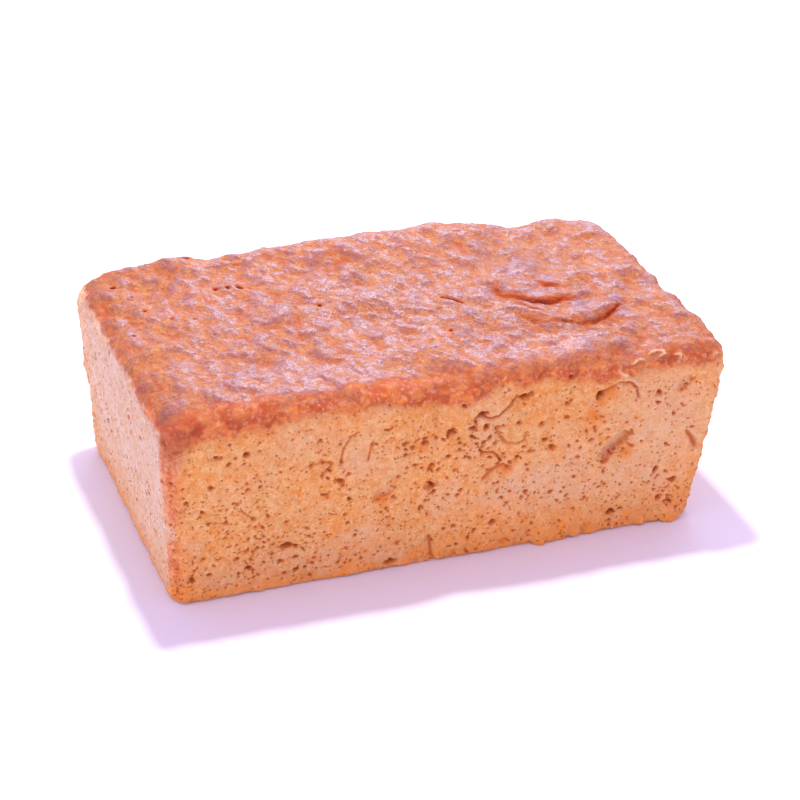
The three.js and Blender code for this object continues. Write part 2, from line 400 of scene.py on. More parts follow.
def tin_form(lattice):
    """The lattice on a tapered block with round corners and edges, and each point's way out."""
    place = lattice[:, :2] * 2 - 1
    plan = place * HALF_PLAN
    ring = np.abs(place).max(1)[:, None]
    inner = ring * (HALF_PLAN - CORNER_RADIUS)
    middle = np.clip(plan, -inner, inner)
    offset = plan - middle
    plan = middle + offset * ring * CORNER_RADIUS / lengths(offset)

    over = np.abs(plan) - (HALF_PLAN - CORNER_RADIUS)
    beyond = np.maximum(over, 0)
    reach = np.linalg.norm(beyond, axis=1)
    out = np.sign(plan) * beyond / np.maximum(reach, TINY)[:, None]
    inward = CORNER_RADIUS - np.where(reach > 0, reach, over.max(1))

    z = lattice[:, 2] * HEIGHT
    rim_in, rim_down = rounded(inward, HEIGHT - z, RIM_RADIUS)
    base_in, base_up = rounded(inward, z, BASE_RADIUS)
    upper = z > HEIGHT / 2
    new_inward = np.where(upper, rim_in, base_in)
    new_z = np.where(upper, HEIGHT - rim_down, base_up)
    plan += out * (inward - new_inward)[:, None]
    plan *= 1 - DRAFT / HALF_PLAN * (1 - new_z / HEIGHT)[:, None]

    radius = np.where(upper, RIM_RADIUS, BASE_RADIUS)
    depth = np.where(upper, HEIGHT - new_z, new_z)
    sideways = np.clip(1 - new_inward / radius, 0, 1)
    upright = np.clip(1 - depth / radius, 0, 1) * np.where(upper, 1, -1)
    ways = np.column_stack([out * sideways[:, None], upright])
    ways /= lengths(ways)
    return np.column_stack([plan, new_z]), ways


def gaps_to_solid(points, ways, solid):
    """How far each point must move along its way out to lie on the solid."""
    corners = [v.co / MM for v in solid.data.vertices]
    tree = BVHTree.FromPolygons(corners, [p.vertices[:] for p in solid.data.polygons])
    gaps = np.zeros(len(points))
    for i, (start, way) in enumerate(zip(points + ways * SOLID_REACH, ways)):
        distance = tree.ray_cast(start, -way)[3]
        if distance is not None:
            gaps[i] = SOLID_REACH - distance
    return gaps


def smoothed(values, quads, reach):
    """Evens values out over the surface, up to about the reach."""
    counts = np.bincount(quads.ravel())
    for _ in range(round(2 * (reach / CELL) ** 2)):
        middles = values[quads].mean(1)
        values = np.bincount(quads.ravel(), np.repeat(middles, 4)) / counts
    return values


def normals(points, quads):
    """The way out of the surface at each point."""
    a, b, c, d = (points[quads[:, k]] for k in range(4))
    faces = np.cross(c - a, d - b)
    sums = [np.bincount(quads.ravel(), np.repeat(faces[:, k], 4)) for k in range(3)]
    sums = np.column_stack(sums)
    return sums / lengths(sums)


def path_distance(points, path):
    """Distance from each point of a plane to a path, and 1 at its left or -1 at its right."""
    nearest = np.full(len(points), np.inf)
    side = np.zeros(len(points))
    for start, end in zip(path, path[1:]):
        start, way = np.array(start, float), np.subtract(end, start)
        offset = points - start
        share = np.clip(offset @ way / (way @ way), 0, 1)
        gap = np.linalg.norm(offset - share[:, None] * way, axis=1)
        left = np.sign(way[0] * offset[:, 1] - way[1] * offset[:, 0])
        side = np.where(gap < nearest, left, side)
        nearest = np.minimum(nearest, gap)
    return nearest, side


MASKS = (
    "crust", "rim", "pit", "pale", "base", "gloss", "fold", "sheen",
    "glitter", "level", "stain", "upward", "end", "dusky", "flat",
)


class Surface:
    """The fine surface, with the relief and the masks that its material reads."""

    def __init__(self):
        self.lattice, self.quads = box_lattice((LENGTH, WIDTH, HEIGHT), CELL)
        points, ways = tin_form(self.lattice)
        gaps = gaps_to_solid(points, ways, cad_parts["loaf"])
        self.points = points + ways * smoothed(gaps, self.quads, SOLID_SMOOTHING)[:, None]
        self.normals = normals(self.points, self.quads)
        self.relief = np.zeros(len(points))
        self.masks = {name: np.zeros(len(points)) for name in MASKS}
        self.up = self.lattice[:, 2] * HEIGHT
        self.top = self.up >= HEIGHT - 1e-6
        self.front = smooth_step(3, 0.5, self.lattice[:, 1] * WIDTH) * (self.up < HEIGHT)
        self.masks["upward"] = np.clip(self.normals[:, 2], 0, 1)

    def around(self, part, stretch, centres, radii, *values):
        """For each centre on a part of the surface, the points near it and how far away they lie.
        Lengths along x and y count for less by the stretch."""
        tree = KDTree(len(part))
        for i in part:
            tree.insert(self.points[i], i)
        tree.balance()
        for centre, radius, *rest in zip(centres, radii, *values):
            near = tree.find_range(self.points[centre], radius * 1.4 * max(stretch))
            where = np.array([index for _, index, _ in near])
            gaps = (self.points[where] - self.points[centre]) / (*stretch, 1)
            yield where, np.linalg.norm(gaps, axis=1) / radius, *rest

    def waves(self, size, seed):
        return waves(self.points, size, seed)

    def layered(self, scales):
        """Waves of several sizes laid over each other."""
        return sum(height * self.waves(size, seed) for size, height, seed in scales)

    def plan_gap(self, x, y):
        """How far each point lies from a place, seen from above."""
        return np.hypot(self.points[:, 0] - x, self.points[:, 1] - y)

    def mark(self, name, share, where=slice(None)):
        """Raises a mask to the share, where it is lower."""
        self.masks[name][where] = np.maximum(self.masks[name][where], share)


def past_edges(loaf):
    """How far each point lies past the line where the sheen ends, and past the line where the bare
    side starts. Both lines are ragged, and furthest from the rim along the front."""
    places = loaf.lattice[:, :2] * (LENGTH, WIDTH)
    inward = np.minimum(places, (LENGTH, WIDTH) - places)
    beyond = inward.min(1) - (HEIGHT - loaf.up)
    others = np.minimum(inward[:, 0], WIDTH - places[:, 1])
    front = smooth_step(-4, 4, others - places[:, 1])
    stations, sheen_ends, side_starts = zip(*FRONT_EDGE)
    plain_behind, plain_below = PLAIN_EDGE
    x = loaf.points[:, 0]
    behind = plain_behind + front * (np.interp(x, stations, sheen_ends) - plain_behind)
    behind += loaf.layered(SHEEN_EDGE_WAVES)
    below = plain_below + front * (np.interp(x, stations, side_starts) - plain_below)
    below += loaf.layered(SIDE_EDGE_WAVES)
    return beyond - behind, beyond + below


def corner_strip(loaf):
    """The browned front left corner, with a bare gap at the middle of its height."""
    x, y = (loaf.lattice[:, :2] * (LENGTH, WIDTH)).T
    strip = bell(x - 1.5, 5) * smooth_step(7, 3.5, y)
    strip *= 0.85 + 0.15 * smooth_step(40, 72, loaf.up) - 0.7 * bell(loaf.up - 34, 4)
    return strip * (loaf.up < HEIGHT)


def mark_crust(loaf):
    """The crust, and the browned rim without sheen, which is fainter on top at the right and
    along the left end."""
    x, y, _ = loaf.points.T
    past_sheen, past_side = past_edges(loaf)
    loaf.masks["crust"] = smooth_step(-1.5, 1.0, past_side)
    band = smooth_step(3.5, -3.5, past_sheen) * smooth_step(-4.5, 1.5, past_side)
    band *= 1 - 0.7 * smooth_step(-30, 30, x) * smooth_step(0.5, 0.97, loaf.masks["upward"])
    band *= 1 - 0.35 * smooth_step(-106, -112, x) * smooth_step(-50, -20, y)
    loaf.masks["rim"] = np.clip(band + corner_strip(loaf), 0, 1)


def mark_sheen(loaf):
    """Where the skin of the crust shines more or less than elsewhere."""
    shares = np.full(len(loaf.points), 0.5)
    for x, y, reach, share in SHEEN_ZONES:
        shares += share * bell(loaf.plan_gap(x, y), reach)
    loaf.masks["sheen"] = np.clip(shares, 0, 1)
    # The glossy spots get the full coat, calmer blisters and a violet painted reflection in their
    # colour
    for x, y, radius in GLOSSY_SPOTS:
        spot = loaf.top * bell(loaf.plan_gap(x, y), radius)
        loaf.mark("gloss", spot)


def mark_glitter(loaf):
    """Where the skin is finely wrinkled, in zones with ragged edges and faintly elsewhere."""
    shares = 0.25 * smooth_step(0.2, 1.0, loaf.waves(16, 15))
    ragged = 0.2 * loaf.waves(7, 16)
    for x, y, reach in GLITTER_ZONES:
        shares += bell(loaf.plan_gap(x, y) / reach + ragged, 1)
    loaf.masks["glitter"] = np.clip(shares, 0, 1)


def mark_dusky(loaf):
    """Where the crust is baked browner, in zones with ragged edges."""
    shares = np.zeros(len(loaf.points))
    ragged = 0.2 * loaf.waves(7, 17)
    for x, y, reach, share in DUSKY_ZONES:
        shares += share * bell(loaf.plan_gap(x, y) / reach + ragged, 1)
    loaf.masks["dusky"] = np.clip(shares, 0, 1) * smooth_step(60, 74, loaf.up)


def mark_base(loaf):
    """The foot of the sides is browner, along a wavy line."""
    line = 5 + loaf.layered(BASE_LINE_WAVES)
    foot = smooth_step(line + 3, line - 1, loaf.up)
    haze = 0.45 * smooth_step(26, 6, loaf.up + 5 * loaf.waves(20, 23))
    haze *= 0.3 + 0.7 * smooth_step(-60, 10, loaf.points[:, 0])
    loaf.masks["base"] = np.maximum(foot, haze)


def mark_pale(loaf):
    """The left end is paler, least at its foot and its back edge: partly a floury end, and partly
    painted light that stands in for the brighter light from the left. Patches of the sides are paler
    too.
    """
    x, y, z = loaf.points.T
    end = smooth_step(-HALF_PLAN[0] + 7, -HALF_PLAN[0] + 3, x)
    end *= 1 - 0.3 * smooth_step(30, 8, z)
    loaf.masks["end"] = end * (1 - 0.5 * smooth_step(38, 66, y))
    pale = 0.35 * smooth_step(0.3, 1.4, loaf.waves(24, 31))
    ragged = 0.25 * loaf.waves(6, 32)
    for middle_x, middle_z, wide, tall, share in PALE_ZONES:
        away = np.hypot((x - middle_x) / wide, (z - middle_z) / tall)
        pale += share * bell(away + ragged, 1) * loaf.front
    loaf.masks["pale"] = np.clip(pale, 0, 1) * (1 - loaf.masks["crust"])


def raise_crust(loaf):
    """Lumps, wrinkles that pinch into creases, and fine granules."""
    crust = loaf.masks["crust"]
    bent = loaf.points + 1.6 * np.column_stack([loaf.waves(9, 41 + k) for k in range(3)])
    bent /= (1, WRINKLE_STRETCH, 1)
    lumps = loaf.layered(CRUST_LUMPS)
    patch = smooth_step(-0.6, 0.9, loaf.waves(28, 46))
    wide = 1 - np.abs(waves(bent, 5.6, 47))
    fine = 1 - np.abs(waves(bent, 2.8, 48))
    creases = 0.22 * np.clip(wide, 0, 1) ** 3 + 0.16 * np.clip(fine, 0, 1) ** 2 * patch
    granules = 0.05 * loaf.waves(1.7, 49)
    loaf.relief += crust * (lumps - creases + granules)
    for x, y, reach, drop in CORNER_DROPS:
        loaf.relief -= crust * drop * bell(loaf.plan_gap(x, y), reach)


def raise_blisters(loaf):
    """Seeded blisters of many sizes all over the crust, which meet in sharp creases."""
    rng = np.random.default_rng(SEED + 1)
    skin = np.flatnonzero(loaf.masks["crust"] > 0.5)
    calm = (1 - 0.25 * loaf.masks["rim"]) * (1 - 0.7 * loaf.masks["gloss"])
    for x, y, reach in SMOOTH_ZONES:
        calm *= 1 - 0.5 * bell(loaf.plan_gap(x, y), reach)
    for count, radius, spread, rise in BLISTERS:
        centres = rng.choice(skin, count)
        radii = radius * np.exp(spread * rng.normal(size=count))
        rises = rise * radii * rng.uniform(0.3, 1, count)
        swell = np.zeros(len(loaf.relief))
        for where, away, high in loaf.around(skin, (1, WRINKLE_STRETCH), centres, radii, rises):
            swell[where] = np.maximum(swell[where], high * np.clip(1 - away**2, 0, 1))
        loaf.relief += swell * calm


def mark_level(loaf):
    """How far the crust stands over its surroundings, from 0 in the hollows to 1 on the bumps."""
    rise = loaf.relief - smoothed(loaf.relief, loaf.quads, LEVEL_REACH)
    loaf.masks["level"] = np.clip(0.5 + rise / LEVEL_RANGE, 0, 1)


def raise_sides(loaf):
    """A faint waviness and a coarse grain of the sides, and crags along the foot."""
    sides = (1 - loaf.masks["crust"]) * (loaf.up > 0.5)
    x = loaf.points[:, 0]
    coarse = 0.22 + 0.2 * smooth_step(-20, 40, x)
    grain = coarse * loaf.waves(7, 51)
    for size, height, seed in FINE_SIDE_GRAIN:
        grain += height * loaf.waves(size, seed)
    rough = 0.25 + 0.75 * smooth_step(-25, 10, x)
    foot = loaf.layered(FOOT_CRAGS)
    foot *= rough * bell(loaf.up, 5)
    for middle, reach, out in FOOT_SWELLS:
        foot += out * bell(x - middle, reach) * bell(loaf.up, 9) * loaf.front
    loaf.relief += sides * (grain + foot)


def cut_folds(loaf):
    """Each fold's lip swells over a deep crease at its foot, coloured darker: partly the crust's red
    brown, partly painted shade.
    """
    bend = np.column_stack([loaf.waves(6, 61), loaf.waves(6, 62)])
    plan = loaf.points[:, :2] + 0.5 * bend
    for fold in FOLDS.values():
        away, side = path_distance(plan, fold["path"])
        ends = [np.linalg.norm(plan - fold["path"][k], axis=1) for k in (0, -1)]
        fade = loaf.top * smooth_step(0, FOLD_END_FADE, np.minimum(*ends))
        middle = np.linalg.norm(plan - fold["deepest"], axis=1)
        strength = fade * (0.45 + 0.55 * bell(middle, fold["reach"]))
        lip = fade * (side > 0) * bell(np.maximum(away - 1, 0), FOLD_LIP_WIDTH)
        width = fold["wide"] * (1 + 0.6 * bell(middle, fold["reach"]))
        cut = strength * bell(away * side + 0.5, width)
        loaf.relief += fold["lip"] * lip - fold["cut"] * cut
        line = fold["dark"] * strength * bell(away * side + 0.3, 1.3 * width)
        loaf.mark("fold", line)


def cut_pinholes(loaf):
    """Round pinholes and one thin tear of the crust, coloured dark inside with the fold tones: partly
    the crust's red brown, partly painted shade.
    """
    for x, y, radius in PINHOLES:
        away = loaf.plan_gap(x, y) / (1.15 * radius)
        hole = loaf.top * np.clip(1 - away**2, 0, 1)
        loaf.relief -= 1.4 * radius * hole**2
        loaf.mark("pit", hole)
        loaf.mark("fold", np.clip(1.6 * hole, 0, 1))
    tear = loaf.top * bell(path_distance(loaf.points[:, :2], CRUST_TEAR)[0], 0.8)
    loaf.relief -= 0.9 * tear
    loaf.mark("fold", np.clip(1.5 * tear, 0, 1))


def cut_pits(loaf, side, plane, ragged):
    """Round pits of the front, which the pit mask colours orange and darker at the floor, partly as
    painted shade.
    """
    for x, z, wide, tall, deep in FRONT_PITS:
        away = np.hypot((plane[:, 0] - x) / wide, (plane[:, 1] - z) / tall) * ragged
        pit = loaf.front[side] * np.clip(1 - away**2, 0, 1)
        loaf.relief[side] -= deep * pit
        loaf.mark("pit", np.sqrt(pit), side)


def cut_cracks(loaf, side, plane, ragged):
    """Cracks and scratches of the front, darkened along their grooves as painted shade."""
    for wide, deep, dark, path in FRONT_CRACKS.values():
        groove = loaf.front[side] * bell(path_distance(plane, path)[0] * ragged, wide)
        loaf.relief[side] -= deep * groove
        loaf.mark("pit", dark * groove, side)


def cut_dents(loaf, side, plane, ragged):
    """Shallow grey patches of the front, with a dark line along the lower half."""
    for x, z, long, tall, turn, deep, line, grey in FRONT_DENTS:
        turn = math.radians(turn)
        dx, dz = plane[:, 0] - x, plane[:, 1] - z
        along = (dx * math.cos(turn) + dz * math.sin(turn)) / long
        across = (dz * math.cos(turn) - dx * math.sin(turn)) / tall
        away = np.hypot(along, across) * ragged
        loaf.relief[side] -= deep * loaf.front[side] * smooth_step(1.05, 0.5, away)
        lower = smooth_step(0.3, -0.3, across)
        loaf.mark("pit", line * loaf.front[side] * lower * bell(away - 0.9, 0.2), side)
        loaf.mark("pale", grey * loaf.front[side] * smooth_step(0.95, 0.6, away), side)


def mark_stains(loaf, side, plane, ragged):
    """Orange stains of the front."""
    for x, z, radius in FRONT_STAINS:
        away = np.hypot(plane[:, 0] - x, plane[:, 1] - z) * ragged
        loaf.mark("stain", loaf.front[side] * bell(away, radius), side)


def cut_front(loaf):
    """The pits, cracks, dents and stains that show on the long front side, all a little ragged."""
    side = np.flatnonzero(loaf.front > 0)
    plane = loaf.points[side][:, [0, 2]]
    ragged = 1 + 0.22 * waves(loaf.points[side], 3, 71)
    cut_pits(loaf, side, plane, ragged)
    cut_cracks(loaf, side, plane, ragged)
    cut_dents(loaf, side, plane, ragged)
    mark_stains(loaf, side, plane, ragged)


def whiten(loaf, side, share, rise):
    """Raises pale bare dough on a part of the surface."""
    loaf.relief[side] += rise * share
    loaf.mark("pale", 1.2 * share, side)
    loaf.masks["crust"][side] *= 1 - share
    loaf.masks["rim"][side] *= 1 - share


def raise_flakes(loaf):
    """Pale flakes and thin curls of dough that stand out of the torn rim."""
    for x, y, z, radius in PALE_FLAKES:
        away = np.linalg.norm(loaf.points - (x, y, z), axis=1)
        near = np.flatnonzero(away < 2.5 * radius)
        ragged = away[near] / radius * (1 + 0.25 * waves(loaf.points[near], 1.5, 72))
        whiten(loaf, near, smooth_step(1.15, 0.7, ragged) * (1 - 0.6 * bell(ragged, 0.4)), 0.7)
    x, y, z = loaf.points.T
    behind = y + HALF_PLAN[1]
    side = np.flatnonzero((loaf.up > HEIGHT / 2) & (behind < RIM_RADIUS))
    plane = np.column_stack([x, z + behind])[side]
    for path in PALE_CURLS:
        ragged = path_distance(plane, path)[0] * (1 + 0.3 * waves(loaf.points[side], 1.8, 73))
        whiten(loaf, side, bell(ragged, PALE_CURL_WIDTH), PALE_CURL_RISE)


def cut_pores(loaf):
    """Seeded pores of many sizes on the sides, larger and denser in the middle of the front."""
    rng = np.random.default_rng(SEED)
    side = np.flatnonzero((loaf.up > 1.5) & (loaf.masks["crust"] < 0.3))
    x, _, z = loaf.points[side].T
    density = 0.35 + smooth_step(-0.5, 1.2, waves(loaf.points[side], 26, 81))
    density *= 0.6 + smooth_step(HEIGHT, HEIGHT * 0.4, loaf.up[side])
    density *= 1 - 0.6 * bell(np.hypot((x - 50) / 30, (z - 32) / 18), 1)
    picks = [rng.choice(len(side), PORE_COUNT, p=density / density.sum())]
    size = 0.8 + 0.4 * bell(x - 15, 40) * bell(z - 50, 24)
    radii = [size[picks[0]] * PORE_RADIUS * np.exp(PORE_SPREAD * rng.normal(size=PORE_COUNT))]
    for middle_x, middle_z, reach, count, radius in PORE_NESTS:
        nest = loaf.front[side] * (np.hypot(x - middle_x, z - middle_z) < reach)
        picks.append(rng.choice(len(side), count, p=nest / nest.sum()))
        radii.append(radius * rng.uniform(0.7, 1.5, count))
    centres = side[np.concatenate(picks)]
    radii = np.minimum(np.concatenate(radii), LARGEST_PORE)
    ragged = 1 + 0.25 * loaf.waves(1.6, 82)
    for where, away, radius in loaf.around(side, PORE_STRETCH, centres, radii, radii):
        pore = np.clip(1 - (away * ragged[where]) ** 2, 0, 1)
        loaf.relief[where] -= 0.8 * radius * pore
        # The pit mask colours the pores orange, and darker at the floor as painted shade
        loaf.mark("pit", pore, where)


def mark_flat(loaf):
    """How level the finished surface lies, up to 1 where it faces straight up."""
    shaped = loaf.points + loaf.normals * loaf.relief[:, None]
    loaf.masks["flat"] = np.clip(normals(shaped, loaf.quads)[:, 2], 0, 1)


def write_mesh(loaf):
    """The surface as a mesh, with its masks and its place on the box as attributes."""
    mesh = bpy.data.meshes.new("loaf_surface")
    points = (loaf.points + loaf.normals * loaf.relief[:, None]) * MM
    points[:, 2] = np.maximum(points[:, 2], 0)
    mesh.vertices.add(len(points))
    mesh.vertices.foreach_set("co", points.ravel())
    mesh.loops.add(loaf.quads.size)
    mesh.loops.foreach_set("vertex_index", loaf.quads.ravel())
    mesh.polygons.add(len(loaf.quads))
    mesh.polygons.foreach_set("loop_start", np.arange(0, loaf.quads.size, 4))
    mesh.update(calc_edges=True)
    for name, values in loaf.masks.items():
        mesh.attributes.new(name, "FLOAT", "POINT").data.foreach_set("value", values)
    place = mesh.attributes.new("box_place", "FLOAT_VECTOR", "POINT")
    place.data.foreach_set("vector", loaf.lattice.ravel())
    return mesh


def thinned(mesh):
    """The mesh with fewer triangles where it is smooth. The folds and pinholes keep theirs."""
    piece = bpy.data.objects.new("loaf_crust", mesh)
    bpy.context.scene.collection.objects.link(piece)
    folds = np.empty(len(mesh.vertices), np.float32)
    mesh.attributes["fold"].data.foreach_get("value", folds)
    kept = piece.vertex_groups.new(name="kept")
    kept.add(np.flatnonzero(folds > KEPT_FOLD).tolist(), 1.0, "REPLACE")
    thin = piece.modifiers.new("thin", "DECIMATE")
    thin.vertex_group = kept.name
    thin.invert_vertex_group = True
    thin.ratio = min(1, MOST_TRIANGLES / (2 * len(mesh.polygons)))
    thin.use_collapse_triangulate = True
    bpy.context.view_layer.update()
    shown = piece.evaluated_get(bpy.context.evaluated_depsgraph_get())
    piece.data = bpy.data.meshes.new_from_object(shown)
    piece.modifiers.clear()
    piece.vertex_groups.clear()
    piece.data.shade_smooth()
    return piece


def unfold(mesh):
    """A map of six charts, one for each face of the box, laid out in two rows."""
    place = np.empty(len(mesh.vertices) * 3, np.float32)
    mesh.attributes["box_place"].data.foreach_get("vector", place)
    corners = np.empty(len(mesh.loops), np.int32)
    mesh.loops.foreach_get("vertex_index", corners)
    triangles = place.reshape(-1, 3)[corners].reshape(-1, 3, 3)
    edge_gaps = np.stack([triangles, 1 - triangles]).mean(2)
    nearest = edge_gaps.transpose(1, 0, 2).reshape(-1, 6).argmin(1)
    size = np.array([LENGTH, WIDTH, HEIGHT]) / (2 * LENGTH + 2 * WIDTH)
    uv = np.zeros((len(triangles), 3, 2))
    for chart, start in CHART_STARTS.items():
        flat = [k for k in range(3) if k != chart % 3]
        faces = nearest == chart
        uv[faces] = triangles[faces][:, :, flat] * size[flat] * CHART_SCALE + start
    layer = mesh.uv_layers.new(name="OFBake")
    layer.data.foreach_set("uv", uv.ravel())
    mesh.attributes.remove(mesh.attributes["box_place"])


# Colours as a screen shows them, from 0 to 255
TONES = {
    "tan": (234, 162, 82),
    "light tan": (228, 172, 102),
    "mottle": (242, 188, 124),
    "orange patch": (230, 142, 52),
    "speckle": (200, 118, 54),
    "flour": (244, 202, 146),
    "pale dough": (226, 194, 156),
    # The left end's tones: partly floury, and paler partly as painted light from the left
    "left end": (214, 192, 174),
    "left end tan": (208, 176, 148),
    "left end bare": (206, 152, 108),
    "left end flour": (226, 212, 204),
    "stain": (228, 130, 36),
    "fine pore": (196, 108, 40),
    "foot": (252, 160, 60),
    # Pits, pores and cracks: orange walls, and floors darker as painted shade
    "pit wall": (208, 114, 44),
    "deep pits with painted shade": (150, 66, 30),
    "crust": (169, 111, 66),
    "brown crust": (154, 91, 55),
    "honey": (190, 139, 72),
    "shiny skin": (139, 82, 68),
    "dusky crust": (116, 66, 58),
    # A violet painted reflection, for the glossy spots
    "painted violet reflection": (112, 80, 104),
    "stipple": (112, 60, 32),
    # The crust's hollows: more orange, and darker in the deepest and between the skin's cells as
    # painted shade
    "low crust": (172, 105, 50),
    "deepest crust hollows with painted shade": (146, 60, 26),
    "skin cell gaps with painted shade": (148, 70, 28),
    # Painted glints, for where the skin glitters
    "glint": (154, 124, 112),
    # Folds, pinholes and the tear: red brown walls, and floors darker as painted shade
    "fold wall": (172, 80, 32),
    "deep folds with painted shade": (118, 40, 16),
    # The rim's tones facing out, each with a darker copy for where it faces up: painted shade that
    # evens out the stronger light on the top
    "dark rim": (206, 98, 44),
    "dark rim on top": (168, 84, 42),
    "light rim": (228, 134, 62),
    "light rim on top": (186, 112, 54),
    "rim spot": (236, 156, 74),
    "rim spot on top": (188, 118, 58),
    # Painted glints of the rim
    "painted rim glint": (228, 160, 108),
    "painted rim glint on top": (190, 136, 112),
    # Painted shade for the rim's hollows
    "rim hollows with painted shade": (164, 66, 28),
    "dusky rim": (146, 62, 44),
}
# Patches laid over each other: tone, size, detail, range of the noise, and the most they cover
SIDE_PATCHES = [
    ("mottle", 3.4, 3, 0.42, 0.62, 0.6),
    ("orange patch", 4.2, 3, 0.5, 0.62, 0.6),
    ("speckle", 1.0, 2, 0.48, 0.66, 0.45),
    ("flour", 1.3, 3, 0.54, 0.68, 0.6),
]
END_PATCHES = [
    ("left end bare", 2.6, 3, 0.52, 0.64, 0.6),
    ("left end flour", 1.9, 2, 0.54, 0.66, 0.7),
]
SIDE_ROUGHNESS = 0.85
SKIN_ROUGHNESS = 0.2
SPECULAR_LEVEL = 0.25


def tone(name):
    """A tone as the linear colour of a shader."""
    return tuple(((c / 255 + 0.055) / 1.055) ** 2.4 for c in TONES[name]) + (1,)


class Shader:
    """Adds nodes to a material. An input that is a socket is linked, and any other is set."""

    def __init__(self, name):
        self.material = bpy.data.materials.new(name)
        self.material.use_nodes = True
        self.tree = self.material.node_tree
        self.tree.nodes.clear()
        coordinates = self.add("TexCoord")
        self.place = self.scaled(coordinates.outputs["Object"], (1 / MM,) * 3)
        self.skin_place = self.scaled(self.place, (1, 1 / WRINKLE_STRETCH, 1))

    def add(self, kind, inputs=None, **settings):
        made = self.tree.nodes.new("ShaderNode" + kind)
        for name, value in settings.items():
            setattr(made, name, value)
        for name, value in (inputs or {}).items():
            if isinstance(value, bpy.types.NodeSocket):
                self.tree.links.new(value, made.inputs[name])
            else:
                made.inputs[name].default_value = value
        return made

    def scaled(self, place, factors):
        return self.add("VectorMath", {0: place, 1: factors}, operation="MULTIPLY").outputs[0]

    def mask(self, name):
        return self.add("Attribute", attribute_name=name).outputs["Fac"]

    def noise(self, size, detail, roughness=0.5, place=None):
        inputs = {"Vector": place or self.place, "Scale": 1 / size}
        inputs |= {"Detail": detail, "Roughness": roughness}
        return self.add("TexNoise", inputs).outputs["Fac"]

    def skin_noise(self, size, detail, roughness):
        """Noise that is longer along y, as the crust's wrinkles are."""
        return self.noise(size, detail, roughness, self.skin_place)

    def spread(self, value, low, high, start=0.0, end=1.0):
        """The value from low to high, eased into the range from start to end."""
        inputs = {"Value": value, "From Min": low, "From Max": high, "To Min": start, "To Max": end}
        return self.add("MapRange", inputs, interpolation_type="SMOOTHSTEP").outputs["Result"]

    def calc(self, operation, first, second):
        return self.add("Math", {0: first, 1: second}, operation=operation).outputs[0]

    def times(self, first, second):
        return self.calc("MULTIPLY", first, second)

    def mix(self, share, first, second):
        inputs = {0: share, 6: first, 7: second}
        return self.add("Mix", inputs, data_type="RGBA").outputs[2]

    def lay(self, colour, layers):
        """Tones laid over the colour one after the other: name, share, and how much of it."""
        for name, share, most in layers:
            colour = self.mix(self.times(share, most), colour, tone(name))
        return colour

    def patches(self, table):
        """Layers of noise for the sides."""
        for name, size, detail, low, high, most in table:
            yield name, self.spread(self.noise(size, detail, 0.6), low, high), most

    def blend(self, share, first, second):
        inputs = {0: share, 2: first, 3: second}
        return self.add("Mix", inputs, data_type="FLOAT").outputs[0]


def small_pores(shader):
    """Pores too fine for the mesh: 1 in the pores and 0 around them."""
    cells = shader.add("TexVoronoi", {"Vector": shader.place, "Scale": 1 / 1.7})
    chance = shader.add("SeparateColor", {0: cells.outputs["Color"]}).outputs[0]
    radius = shader.spread(chance, 0.45, 1.0, 0.0, 0.34)
    return shader.spread(shader.calc("SUBTRACT", radius, cells.outputs["Distance"]), 0.0, 0.12)


def end_colour(shader, patches):
    """The pale left end, with bare spots: partly flour, and partly painted light from the left."""
    colour = shader.mix(patches, tone("left end"), tone("left end tan"))
    return shader.lay(colour, shader.patches(END_PATCHES))


def side_colour(shader, pores):
    """Matte tan with grey and orange patches, fine speckle and orange pores."""
    patches = shader.spread(shader.noise(15, 4, 0.6), 0.38, 0.62)
    colour = shader.mix(patches, tone("tan"), tone("light tan"))
    colour = shader.lay(colour, shader.patches(SIDE_PATCHES))
    colour = shader.lay(colour, [("pale dough", shader.mask("pale"), 0.6)])
    # The left end: partly floury, and paler partly as painted light from the left
    at_end = shader.times(shader.mask("end"), 0.8)
    colour = shader.mix(at_end, colour, end_colour(shader, patches))
    # The fine pores are coloured darker orange, partly as painted shade in them
    return shader.lay(colour, [("stain", shader.mask("stain"), 0.85), ("fine pore", pores, 0.6)])


def crust_colour(shader, shiny, stipple, hollows):
    """Orange where the crust is dull and purple brown where it shines, with fine grains and painted
    glints.
    """
    warm = shader.spread(shader.skin_noise(5.5, 3, 0.55), 0.38, 0.62)
    honey = shader.spread(shader.skin_noise(2.3, 2, 0.5), 0.52, 0.64)
    painted_glint_share = shader.spread(shader.skin_noise(1.0, 1, 0.5), 0.55, 0.64)
    glitter = shader.spread(shader.mask("glitter"), 0.1, 0.9, 0.1, 0.6)
    return shader.lay(shader.mix(warm, tone("crust"), tone("brown crust")), [
        ("honey", honey, 0.6),
        ("shiny skin", shiny, 1),
        ("dusky crust", shader.mask("dusky"), 0.75),
        # The glossy spots take a violet painted reflection
        ("painted violet reflection", shader.mask("gloss"), 1),
        ("stipple", stipple, 0.45),
        # More orange in the hollows, and painted shade in the deepest hollows and between the skin's
        # cells
        ("low crust", shader.spread(shader.mask("level"), 0.6, 0.2), 0.6),
        ("deepest crust hollows with painted shade", shader.spread(shader.mask("level"), 0.3, 0.1), 0.6),
        ("skin cell gaps with painted shade", hollows, 0.2),
        # Painted glints where the skin glitters
        ("glint", painted_glint_share, glitter),
    ])


